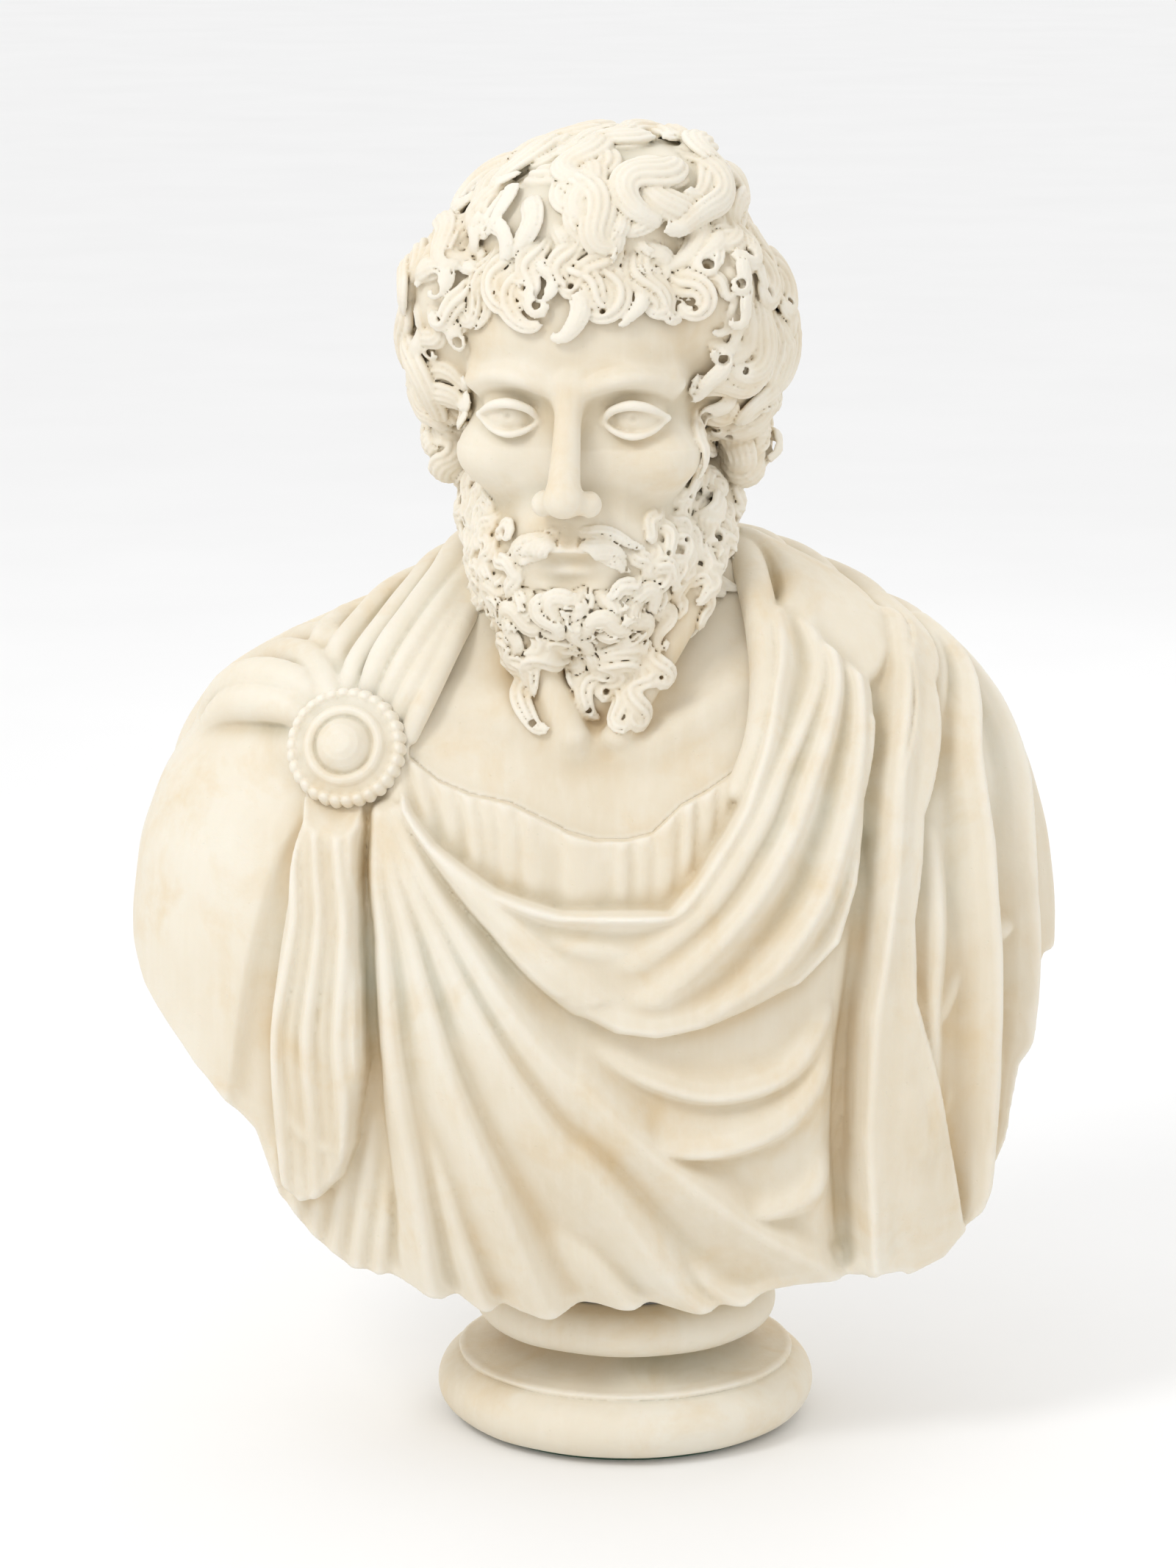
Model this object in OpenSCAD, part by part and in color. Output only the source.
// Draped marble portrait bust on a turned socle.
// The head and bare breast are one block, let into a socket in the draped torso.
// The torso stands on the socle by a captive steel rod, and can be turned on it.
// Millimetres, +Z up, origin on the table under the socle's axis, face towards -Y.

/* [Socle] */
// Radius of the socle's base roll, its widest part
socle_r = 100; // [84:1:120]
// Height of the base roll
base_roll_h = 32; // [27:1:38]
// Radius of the raised fillet above the base roll
fillet_r = 89; // [75:1:107]
// Height of the raised fillet
fillet_h = 2.4; // [2:0.1:3]
// Radius of the socle's waist
waist_r = 56; // [48:1:62]
// Height of the hollow moulding between fillet and waist
scotia_h = 15; // [12:1:18]
// Radius of the upper roll at its widest
top_roll_r = 80; // [70:1:96]
// Height of the upper roll
top_roll_h = 23; // [19:1:28]

/* [Torso] */
// Width over the upper arms
torso_w = 474; // [395:1:569]
// Height of the torso from its foot to the back of the collar
torso_h = 394; // [340:1:473]
// Depth from breast to shoulder blades
torso_d = 222; // [190:1:266]
// Radius of the torso's foot, which stands on the bearing disc
foot_r = 57; // [52:1:68]
// Height of the foot before the drapery hides it
foot_h = 34; // [28:1:41]
// Height of the carved fold ridges
fold_h = 7; // [3:0.5:9]
// Width of the support pillar between the two hollows of the back
pillar_w = 84; // [76:1:100]
// Stone left in front of the hollows of the back
front_wall = 82; // [70:1:98]

/* [Head] */
// Height of the head from beard tip to the top of the hair
head_h = 288; // [245:1:345]
// Width of the head over the hair
head_w = 206; // [172:1:247]
// Depth of the head over the hair
head_d = 226; // [190:1:271]
// Angle that the head turns towards its own right shoulder
head_turn = 9; // [0:1:15]
// Relief of the curls
curl_h = 7; // [6:0.5:9]
// Number of places for curls round the whole head
curls = 128; // [100:1:150]
// Number of places for curls round the beard
beard_curls = 54; // [40:1:64]
// Radius of the neck
neck_r = 56; // [47:1:62]
// Gap between the head block and its socket, filled with fine mortar
socket_gap = 0.5; // [0.4:0.1:1]
// Depth of stone in the head block under the lowest point of the neckline
bib_t = 34; // [28:1:41]

/* [Brooch] */
// Radius of the brooch's scalloped rim
brooch_r = 30.5; // [25.5:0.5:36.5]
// Number of scallops round the rim
scallops = 30; // [24:1:36]
// Height of the brooch's boss above its rim
boss_h = 15; // [12:1:18]
// Radius of the peg behind the brooch
peg_r = 4; // [3:0.5:5]
// Length of the peg inside the stone
peg_depth = 34; // [28:1:41]

/* [Fixings] */
// Radius of the rod that joins torso and socle
rod_r = 10; // [8:0.5:12]
// Length of the rod inside the torso
rod_depth = 120; // [100:1:144]
// Wall of the resin round a rod or dowel set in stone
grout_t = 4; // [3:0.5:5]
// Radial running clearance of the rod in its sleeve
rod_clear = 0.05; // [0.03:0.01:0.09]
// Wall of the brass sleeve in the socle
sleeve_t = 2.5; // [2:0.5:4]
// Thickness of the disc that the torso turns on
disc_t = 2; // [1.5:0.5:3]
// Radius of the dowel between head and torso
dowel_r = 8; // [6.5:0.5:9.5]
// Length of the dowel on each side of the neck joint
dowel_half = 55; // [46:1:66]
// Radius of the recess under the socle
recess_r = 34; // [30:1:40]
// Depth of the recess under the socle
recess_h = 36; // [31:1:40]
// Width across flats of the nut and its lock nut
nut_af = 30; // [26:1:36]
// Thickness of the nut
nut_t = 12; // [10:1:14]
// Thickness of the thin lock nut
lock_nut_t = 8; // [7:1:9]
// Thickness of the washer
washer_t = 3; // [2.5:0.5:3.6]
// Radius of the washer
washer_r = 20; // [19:0.5:24]
// Play between washer and socle, which lets the torso turn
swivel_play = 0.4; // [0.3:0.1:0.5]
// Thickness of the felt under the socle
felt_t = 2; // [1.5:0.5:3]

/* [Hidden] */
$fn = 96;

marble = [0.90, 0.87, 0.79];
steel = [0.62, 0.63, 0.65];
brass = [0.78, 0.64, 0.34];
resin = [0.80, 0.76, 0.66];
felt_green = [0.22, 0.34, 0.26];
lead_grey = [0.45, 0.46, 0.48];

// Heights of the stack, from the table up
socle_z = felt_t;
fillet_z = socle_z + base_roll_h;
scotia_z = fillet_z + fillet_h;
top_roll_z = scotia_z + scotia_h;
socle_top = top_roll_z + top_roll_h;
torso_z = socle_top + disc_t;
collar_z = torso_z + torso_h;

// The neck joint
neckline_z = torso_z + 0.655 * torso_h;
joint_z = neckline_z - bib_t;
neckline_y = -0.47 * torso_d;
bed_t = 2;
bed_r = 34;
neck_x = -17;

// Stone or resin left past the end of a rod or dowel, and how far a cut runs past a face
end_cover = 2;
over = 1;

// The torso's plan is a superellipse of exponent 2 / plan_power
plan_power = 0.84;

// Folds to a full turn round the brooch, the distance over which they rise to full height,
// and the spacing of the upright folds over the left arm
fan_folds = 13;
fan_rise = 60;
fall_pitch = 27;

// The head's centre, and the brooch's place on the shoulder
head_x = -16;
head_y = -24;
beard_z = collar_z - 66;
head_z = beard_z + 0.6 * head_h;
brooch_x = -0.297 * torso_w;
brooch_z = torso_z + 0.765 * torso_h;

// Outline of the torso: height, left edge, right edge, front and back,
// as shares of torso_h, torso_w (from the rod) and torso_d (from the rod)
outline = [
    [0.03, -0.19, 0.20, -0.30, 0.15],
    [0.065, -0.29, 0.31, -0.37, 0.21],
    [0.12, -0.35, 0.375, -0.41, 0.26],
    [0.18, -0.38, 0.395, -0.44, 0.30],
    [0.25, -0.41, 0.41, -0.47, 0.34],
    [0.33, -0.46, 0.44, -0.49, 0.38],
    [0.41, -0.535, 0.455, -0.50, 0.42],
    [0.49, -0.545, 0.46, -0.50, 0.45],
    [0.57, -0.54, 0.46, -0.49, 0.48],
    [0.65, -0.52, 0.445, -0.47, 0.50],
    [0.72, -0.485, 0.425, -0.43, 0.50],
    [0.78, -0.445, 0.395, -0.38, 0.49],
    [0.83, -0.375, 0.355, -0.33, 0.46],
    [0.875, -0.30, 0.31, -0.27, 0.43],
    [0.92, -0.235, 0.235, -0.22, 0.39],
    [0.96, -0.19, 0.165, -0.17, 0.34],
    [1.0, -0.155, 0.105, -0.12, 0.28]
];

// The outline's row at t of the way up its list, on a smooth curve through the rows
function outline_at(t) =
    let (n = len(outline) - 1, k = min(n - 1, floor(t * n)), f = t * n - k,
        a = outline[max(0, k - 1)], b = outline[k], c = outline[k + 1], d = outline[min(n, k + 2)])
    b + f * ((c - a) / 2 + f * ((a - 2.5 * b + 2 * c - d / 2) + f * (1.5 * b - 1.5 * c + d / 2 - a / 2)));

// A superellipse point at angle a, unit half-widths, exponent 2 / e
function squircle(a, e) = [sign(cos(a)) * pow(abs(cos(a)), e), sign(sin(a)) * pow(abs(sin(a)), e)];

// Fold relief at a front-view place: ridges fan out from the brooch across the breast
function fan(x, z) =
    let (dx = x - brooch_x, dz = z - brooch_z, reach = norm([dx, dz]), a = atan2(dz, dx))
    fold_h * (0.5 - 0.5 * cos(fan_folds * a)) * min(1, max(0, reach - brooch_r) / fan_rise);

// Fold relief of the cloak's fall over the left arm: upright ridges
function fall(x) = fold_h * (0.5 - 0.5 * cos(360 * x / fall_pitch));

// The breast above the cloak's edge and the bare arm carry no folds
function relief(x, y, z) =
    y > 20 || z > neckline_z - 60 || x < brooch_x - brooch_r ? 0 : x > 0.24 * torso_w ? fall(x) : fan(x, z);

// One closed ring of the torso's skin; the folds stand out on its front
function ring(row, folds, steps) =
    let (z = torso_z + row[0] * torso_h,
        cx = (row[1] + row[2]) / 2 * torso_w,
        hx = (row[2] - row[1]) / 2 * torso_w)
    [for (i = [0:steps - 1])
        let (p = squircle(i * 360 / steps, plan_power),
            x = cx + hx * p[0],
            y = (p[1] < 0 ? -row[3] : row[4]) * torso_d * p[1],
            out = folds * relief(x, y, z))
        [x, y - (y < 0 ? out * abs(p[1]) : 0), z]];

// A closed skin through equal rings, with flat ends
module skin(rings) {
    n = len(rings[0]);
    m = len(rings);
    polyhedron(
        points = [for (r = rings) for (p = r) p],
        faces = concat(
            [[for (i = [0:n - 1]) i]],
            [[for (i = [n - 1:-1:0]) (m - 1) * n + i]],
            [for (k = [0:m - 2]) for (i = [0:n - 1])
                let (j = (i + 1) % n)
                each [[k * n + i, (k + 1) * n + i, (k + 1) * n + j],
                    [k * n + i, (k + 1) * n + j, k * n + j]]]));
}

module torso_skin(folds, rows, steps) {
    skin([for (k = [0:rows]) ring(outline_at(k / rows), folds, steps)]);
}

// A round roll of cloth through points [x, y, z, radius]
module roll(path, steps = 10) {
    n = len(path) - 1;
    skin([for (k = [0:n])
        let (p = path[k], q = path[max(0, k - 1)], r = path[min(n, k + 1)],
            d = [r[0] - q[0], r[1] - q[1], r[2] - q[2]],
            u = cross(d, [0, 1, 0.3]) / norm(cross(d, [0, 1, 0.3])),
            v = cross(d, u) / norm(d))
        [for (i = [0:steps - 1])
            let (a = 360 * i / steps)
            [p[0], p[1], p[2]] + p[3] * (cos(a) * u + sin(a) * v)]]);
}

// Points as shares of the torso: x and y from the rod, z from its foot; radius in millimetres
function on_torso(path) =
    [for (p = path) [p[0] * torso_w, p[1] * torso_d, torso_z + p[2] * torso_h, p[3]]];

// The cloak's edge: round the neck, over the left shoulder and across the breast to the brooch
cloak_edge = [
    [-0.30, -0.30, 0.83, 12], [-0.25, -0.24, 0.885, 15], [-0.20, -0.12, 0.935, 15],
    [-0.15, 0.04, 0.975, 14], [-0.03, 0.19, 0.985, 13], [0.09, 0.12, 0.985, 14],
    [0.17, -0.02, 0.955, 15], [0.21, -0.18, 0.90, 16], [0.20, -0.31, 0.81, 17],
    [0.15, -0.41, 0.68, 18], [0.08, -0.46, 0.57, 18], [-0.02, -0.47, 0.52, 18],
    [-0.12, -0.46, 0.55, 17], [-0.22, -0.43, 0.63, 14], [-0.28, -0.41, 0.70, 11]
];

// One of the pleats that hang from the brooch, k steps from the breast side
function hanging_pleat(k) = [
    [-0.295 - 0.005 * k, -0.40, 0.71, 5], [-0.295 - 0.02 * k, -0.42 + 0.01 * k, 0.58, 8],
    [-0.295 - 0.03 * k, -0.42 + 0.025 * k, 0.44, 10], [-0.285 - 0.035 * k, -0.39 + 0.03 * k, 0.30, 11],
    [-0.27 - 0.035 * k, -0.33 + 0.03 * k, 0.17, 10]
];

// One of the deep folds that fall over the left arm, k steps from the breast side
function arm_fold(k) = [
    [0.22 + 0.04 * k, -0.19 - 0.02 * k, 0.87 - 0.04 * k, 7], [0.27 + 0.05 * k, -0.33 + 0.06 * k, 0.74, 10],
    [0.275 + 0.055 * k, -0.395 + 0.06 * k, 0.55, 11], [0.26 + 0.055 * k, -0.405 + 0.06 * k, 0.36, 11],
    [0.24 + 0.05 * k, -0.365 + 0.055 * k, 0.18, 9]
];

// The plan of the head block: the scoop of the neckline in front, and the nape behind
scoop_r = neck_r + 22;
scoop_side_r = 0.66 * neck_r;
scoop_side_y = neckline_y + scoop_side_r + 9;
nape_r = neck_r + 2;
nape_y = 14;

module block_plan(gap) {
    hull() {
        translate([neck_x, neckline_y + scoop_r]) circle(r = scoop_r + gap, $fn = 40);
        translate([neck_x - neck_r, scoop_side_y]) circle(r = scoop_side_r + gap, $fn = 40);
        translate([neck_x + 0.78 * neck_r, scoop_side_y]) circle(r = scoop_side_r + gap, $fn = 40);
        translate([neck_x + 3, nape_y]) circle(r = nape_r + gap, $fn = 40);
    }
}

// An ellipsoid with its own half-widths
module ellipsoid(place, half, fn) {
    translate(place) scale(half) sphere(r = 1, $fn = fn);
}

// One hollow of the back: side is -1 or 1
module back_hollow(side) {
    edge_r = 22;
    edge_h = 30;
    mouth_y = torso_d / 2 + 12;
    deep = mouth_y + torso_d / 2 - front_wall;
    inner = pillar_w / 2 + edge_r;
    outer = 0.335 * torso_w - edge_r;
    low = torso_z + 0.165 * torso_h + edge_h;
    corners = [[inner, low], [outer, low], [inner, joint_z - 25 - edge_h], [outer, joint_z + 10 - edge_h]];
    hull() {
        for (c = corners) {
            translate([side * c[0], mouth_y, c[1]]) scale([edge_r, deep, edge_h]) sphere(r = 1, $fn = 24);
        }
    }
}

// The stone of the torso before it is drilled
module torso_block() {
    difference() {
        union() {
            torso_skin(1, 34, 96);
            roll(on_torso(cloak_edge), 14);
            for (k = [0:2]) roll(on_torso(hanging_pleat(k)));
            for (k = [0:2]) roll(on_torso(arm_fold(k)));
            on_brooch() translate([0, 0, -brooch_r])
                cylinder(r1 = brooch_r + 6, r2 = brooch_r - 5, h = brooch_r, $fn = 40);
            translate([0, 0, torso_z]) cylinder(r = foot_r, h = foot_h, $fn = 64);
        }
        translate([0, 0, joint_z]) linear_extrude(torso_h) block_plan(socket_gap);
        for (side = [-1, 1]) back_hollow(side);
        on_brooch() cylinder(r = brooch_r + seat_gap, h = 2 * brooch_r, $fn = 60);
    }
}

module torso() {
    color(marble) difference() {
        resize([0, 0, 0]) torso_block();
        translate([0, 0, torso_z - over]) cylinder(r = rod_r + grout_t, h = rod_depth + over);
        translate([neck_x, 0, joint_z - dowel_half]) cylinder(r = dowel_r + grout_t, h = dowel_half + over);
        on_brooch() translate([0, 0, -peg_depth]) cylinder(r = peg_r, h = peg_depth + brooch_r);
    }
}

// Direction number i of n, spread evenly over a sphere
function spread(i, n) =
    let (z = 1 - (2 * i + 1) / n, a = 137.508 * i)
    [sqrt(1 - z * z) * cos(a), sqrt(1 - z * z) * sin(a), z];

// Directions of the head that the hair covers: all but the face and the nape's underside
function has_hair(d) = d[2] > -0.52 && (d[1] > -0.5 || d[2] > 0.55 || abs(d[0]) > 0.74);

// Skull and face in the head's own frame
module face() {
    w = head_w / 2;
    ellipsoid([0, 4, 26], [0.73 * w, 0.39 * head_d, 0.29 * head_h], 40);
    ellipsoid([0, -30, -20], [0.62 * w, 0.25 * head_d, 0.31 * head_h], 36);
    ellipsoid([0, -62, -66], [0.40 * w, 27, 26], 24);
    hull() {
        translate([0, -80, 24]) sphere(r = 8, $fn = 16);
        translate([0, -102, -18]) sphere(r = 9, $fn = 16);
    }
    for (side = [-1, 1]) {
        ellipsoid([side * 12, -91, -20], [9, 12, 8], 14);
        ellipsoid([side * 31, -72, 12], [15, 13, 10], 18);
        ellipsoid([side * 28, -72, 34], [23, 12, 8], 18);
        ellipsoid([side * 44, -56, -14], [20, 20, 18], 18);
        ellipsoid([side * 0.74 * w, 8, -12], [9, 18, 30], 16);
    }
    ellipsoid([0, -86, -48], [24, 11, 7], 18);
}

// Hair: curls seated on the skull
module hair() {
    half = [head_w / 2 - 2 * curl_h, head_d / 2 - 2 * curl_h - 4, 0.4 * head_h - 2 * curl_h - 4];
    difference() {
        ellipsoid([0, 2, 4], half, 36);
        ellipsoid([0, 58 - head_d, 0], [58, 66, 56], 24);
        translate([-head_w, -1.5 * head_d, -1.2 * head_h]) cube([2 * head_w, 3 * head_d, 1.2 * head_h - 48]);
    }
    for (i = [0:curls - 1]) {
        d = spread(i, curls);
        if (has_hair(d)) {
            translate([d[0] * half[0], 2 + d[1] * half[1], 4 + d[2] * half[2]])
                rotate([0, 0, 70 * i]) scale([1.25, 0.95, 1]) sphere(r = 2.15 * curl_h, $fn = 8);
        }
    }
}

// Beard: a curled mass on the jaw that ends in two points
module beard() {
    chin = [0, -44, -74];
    half = [50, 40, 34];
    ellipsoid(chin, half, 28);
    for (i = [0:beard_curls - 1]) {
        d = spread(i, beard_curls);
        if (d[1] < 0.5 && d[2] < 0.75 && !(abs(d[0]) < 0.5 && d[1] < -0.4 && d[2] > 0)) {
            translate(chin + [d[0] * half[0], d[1] * half[1], d[2] * half[2]])
                rotate([0, 0, 70 * i]) scale([1, 0.9, 1.2]) sphere(r = 1.5 * curl_h, $fn = 8);
        }
    }
    for (side = [-1, 1]) {
        for (k = [0:4]) {
            reach = k / 4;
            place = [side * (16 + 10 * reach + 5 * sin(140 * k)), -66 - 6 * cos(140 * k),
                -96 - reach * (0.6 * head_h - 108)];
            ellipsoid(place, [19 - 9 * reach, 17 - 7 * reach, 14 - 2 * reach], 12);
        }
    }
}

// The neck's centre at its root and at the collar
neck_root_y = -8;
neck_y = -14;

// One length of the neck, from a disc of radius r to one of the neck's radius
module neck_part(from, r, to) {
    hull() {
        translate(from) cylinder(r = r, h = 1, $fn = 40);
        translate(to) cylinder(r = neck_r, h = 1, $fn = 40);
    }
}

// The head, neck and bare breast as one block, before it is drilled
module head_block() {
    translate([head_x, head_y, head_z]) rotate([0, 0, -head_turn]) {
        face();
        hair();
        beard();
    }
    intersection() {
        translate([0, 0, joint_z + bed_t]) linear_extrude(torso_h) block_plan(0);
        union() {
            torso_skin(0, 24, 64);
            neck_part([neck_x, neck_root_y, neckline_z], neck_r + 14, [neck_x, neck_y, collar_z]);
        }
    }
    neck_part([neck_x, neck_y, collar_z - 8], neck_r, [head_x, head_y + 6, head_z - 40]);
}

module head() {
    color(marble) difference() {
        resize([0, 0, 0]) head_block();
        translate([neck_x, 0, joint_z]) cylinder(r = dowel_r + grout_t, h = dowel_half);
    }
}

// The brooch's plate, the gap round it where it is let into the folds, the lobes of its rim,
// its dome and how far its peg goes in
plate_h = 7;
seat_gap = 0.3;
lobe_r = 3.4;
dome_r = boss_h + 2;
peg_in_brooch = 5;

// The brooch's frame: +Z out of the shoulder
module on_brooch() {
    translate([brooch_x, -0.385 * torso_d, brooch_z]) rotate([68, 0, -10]) children();
}

module brooch() {
    color(marble) on_brooch() difference() {
        union() {
            linear_extrude(plate_h) {
                circle(r = brooch_r - lobe_r / 2);
                for (i = [0:scallops - 1]) {
                    rotate(i * 360 / scallops) translate([brooch_r - lobe_r, 0]) circle(r = lobe_r, $fn = 24);
                }
            }
            translate([0, 0, plate_h]) cylinder(r1 = 0.82 * brooch_r, r2 = 0.72 * brooch_r, h = boss_h / 5);
            translate([0, 0, plate_h + boss_h - dome_r]) intersection() {
                sphere(r = dome_r);
                translate([0, 0, dome_r - boss_h]) cylinder(r = dome_r, h = dome_r);
            }
        }
        translate([0, 0, -over]) cylinder(r = peg_r, h = peg_in_brooch + over);
    }
}

module brooch_peg() {
    color(steel) on_brooch() translate([0, 0, -peg_depth]) cylinder(r = peg_r, h = peg_depth + peg_in_brooch);
}

// Half profile of the turned socle
module socle_profile() {
    roll = base_roll_h / 2;
    top = top_roll_h / 2;
    scotia_r = fillet_r - 1.5;
    scotia_top = top_roll_z - socle_z;
    difference() {
        union() {
            square([socle_r - roll, base_roll_h]);
            translate([socle_r - roll, roll]) circle(r = roll);
            square([fillet_r, base_roll_h + fillet_h]);
            translate([0, base_roll_h + fillet_h]) square([scotia_r, scotia_h]);
            translate([0, scotia_top]) square([top_roll_r - top, top_roll_h]);
            translate([top_roll_r - top, scotia_top + top]) circle(r = top);
        }
        translate([scotia_r, scotia_top]) oval(scotia_r - waist_r, scotia_h);
    }
}

// An ellipse's outline
module oval(half_x, half_y) {
    polygon([for (a = [0:7.5:352.5]) [half_x * cos(a), half_y * sin(a)]]);
}

module socle() {
    color(marble) translate([0, 0, socle_z]) difference() {
        rotate_extrude() socle_profile();
        translate([0, 0, -over]) cylinder(r = rod_r + rod_clear + sleeve_t, h = socle_top);
        translate([0, 0, -over]) cylinder(r = recess_r, h = recess_h + over);
    }
}

module bearing_disc() {
    color(lead_grey) translate([0, 0, socle_top]) difference() {
        cylinder(r = foot_r - 3, h = disc_t);
        translate([0, 0, -over]) cylinder(r = rod_r + rod_clear, h = disc_t + 2 * over);
    }
}

module rod_sleeve() {
    color(brass) translate([0, 0, socle_z + recess_h]) difference() {
        cylinder(r = rod_r + rod_clear + sleeve_t, h = socle_top - socle_z - recess_h);
        translate([0, 0, -over]) cylinder(r = rod_r + rod_clear, h = socle_top);
    }
}

// Washer, nut and lock nut hang under the socle's roof on the rod's end, which stands proud
rod_proud = 4;
washer_z = socle_z + recess_h - swivel_play - washer_t;
nut_z = washer_z - nut_t;
lock_z = nut_z - lock_nut_t;
rod_end = lock_z - rod_proud;

module swivel_rod() {
    rod_top = torso_z + rod_depth - end_cover;
    color(steel) translate([0, 0, rod_end]) cylinder(r = rod_r, h = rod_top - rod_end);
}

module rod_grout() {
    color(resin) translate([0, 0, torso_z]) difference() {
        cylinder(r = rod_r + grout_t, h = rod_depth);
        translate([0, 0, -over]) cylinder(r = rod_r, h = rod_depth - end_cover + over);
    }
}

module rod_washer() {
    color(steel) translate([0, 0, washer_z]) difference() {
        cylinder(r = washer_r, h = washer_t);
        translate([0, 0, -over]) cylinder(r = rod_r, h = washer_t + 2 * over);
    }
}

module hex_nut(z, t) {
    color(steel) translate([0, 0, z]) difference() {
        cylinder(r = nut_af / sqrt(3), h = t, $fn = 6);
        translate([0, 0, -over]) cylinder(r = rod_r, h = t + 2 * over);
    }
}

module rod_nut() { hex_nut(nut_z, nut_t); }

module lock_nut() { hex_nut(lock_z, lock_nut_t); }

module neck_dowel() {
    color(steel) translate([neck_x, 0, joint_z - dowel_half + end_cover])
        cylinder(r = dowel_r, h = 2 * (dowel_half - end_cover));
}

// Resin round one half of the dowel, h long from height z; its bore starts at bore_z above z
module dowel_grout(z, h, bore_z) {
    color(resin) translate([neck_x, 0, z]) difference() {
        cylinder(r = dowel_r + grout_t, h = h);
        translate([0, 0, bore_z]) cylinder(r = dowel_r, h = h);
    }
}

module dowel_grout_torso() { dowel_grout(joint_z - dowel_half, dowel_half, end_cover); }

module dowel_grout_head() { dowel_grout(joint_z + bed_t, dowel_half - bed_t, -end_cover); }

module neck_bed() {
    color(resin) translate([neck_x, 0, joint_z]) difference() {
        cylinder(r = bed_r, h = bed_t);
        translate([0, 0, -over]) cylinder(r = dowel_r, h = bed_t + 2 * over);
    }
}

module felt_pad() {
    color(felt_green) cylinder(r = socle_r - base_roll_h / 2, h = felt_t);
}

torso();
head();
brooch();
brooch_peg();
socle();
bearing_disc();
rod_sleeve();
swivel_rod();
rod_grout();
rod_washer();
rod_nut();
lock_nut();
neck_dowel();
dowel_grout_torso();
dowel_grout_head();
neck_bed();
felt_pad();
